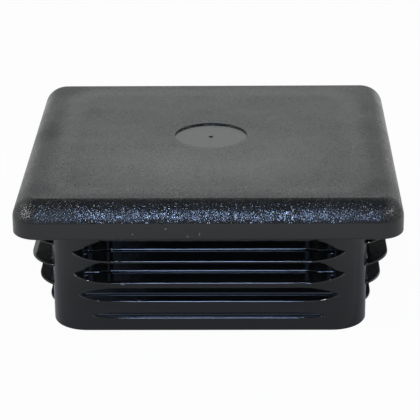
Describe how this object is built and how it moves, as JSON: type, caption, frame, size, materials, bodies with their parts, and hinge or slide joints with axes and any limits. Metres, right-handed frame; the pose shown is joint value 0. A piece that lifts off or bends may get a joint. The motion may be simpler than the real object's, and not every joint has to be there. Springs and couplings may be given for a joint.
{
  "type": "tube end cap",
  "caption": "Square black plastic end cap for a tube, with a flat rounded head, a round gate well, a hollow ribbed plug and flexible fins round the plug.",
  "frame": {"origin": "middle of the footprint, on the plane of the plug's rim", "axes": "+Z from the plug's rim to the head's visible face; X and Y square to the sides, +Y the side that the gate well is nearer to"},
  "size_m": [0.05, 0.05, 0.0195],
  "materials": {
    "end_cap": "fine spark-eroded texture on the head, smoother on the plug and fins"
  },
  "bodies": {
    "root": {"end_cap": "end_cap"}
  },
  "joints": []
}
